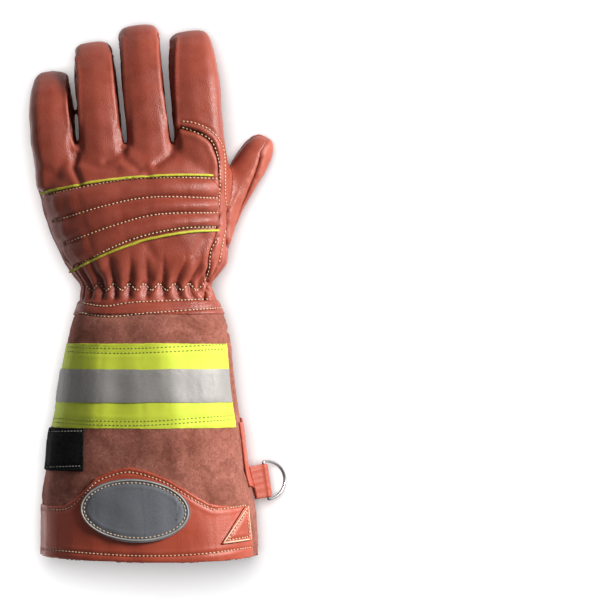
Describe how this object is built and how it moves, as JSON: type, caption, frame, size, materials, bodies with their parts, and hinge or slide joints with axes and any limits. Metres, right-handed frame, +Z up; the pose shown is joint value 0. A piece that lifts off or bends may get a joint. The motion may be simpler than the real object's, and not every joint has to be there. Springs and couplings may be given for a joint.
{
  "type": "firefighter glove",
  "caption": "Left-hand leather gauntlet glove with a quilted knuckle pad, gathered wrist, reflective tape on a flared suede cuff, a wrap-over strap and a small steel D-ring.",
  "frame": {"origin": "on the surface the glove lies on, under the middle of its box", "axes": "+Y from the hem to the fingertips, +Z up out of the back of the hand, +X towards the thumb"},
  "size_m": [0.164, 0.3426, 0.0688],
  "materials": {
    "grain_leather": "semi-smooth grain",
    "coral_leather": "smooth grain",
    "suede": "napped",
    "lime_fabric": "fluorescent",
    "silver_film": "retroreflective",
    "grey_film": "retroreflective",
    "black_tape": "loop pile",
    "steel": "bright"
  },
  "bodies": {
    "glove": {"back_panel": "grain_leather", "palm_panel": "grain_leather", "fourchette_little_ring": "grain_leather", "fourchette_ring_middle": "grain_leather", "fourchette_middle_index": "grain_leather", "thumb_back": "grain_leather", "thumb_front": "grain_leather", "knuckle_pad": "grain_leather", "piping_upper": "lime_fabric", "piping_lower": "lime_fabric", "wrist_band": "grain_leather", "cuff_back": "suede", "cuff_palm": "suede", "wrist_patch": "grain_leather", "tape_lime": "lime_fabric", "tape_silver": "silver_film", "keeper_patch": "black_tape", "hem_panel": "coral_leather", "oval_patch": "grey_film", "corner_patch": "coral_leather", "strap_base": "coral_leather", "loop_tape": "black_tape", "closure_strap": "coral_leather", "ring_tab": "coral_leather"},
    "ring": {"d_ring": "steel"}
  },
  "joints": [
    {"name": "ring_hinge", "type": "hinge", "parent": "glove", "child": "ring", "pos_m": [0.06891, -0.12177, 0.01286], "axis": [-0.1392, 0.9903, 0], "range_deg": [-120, 40]}
  ]
}
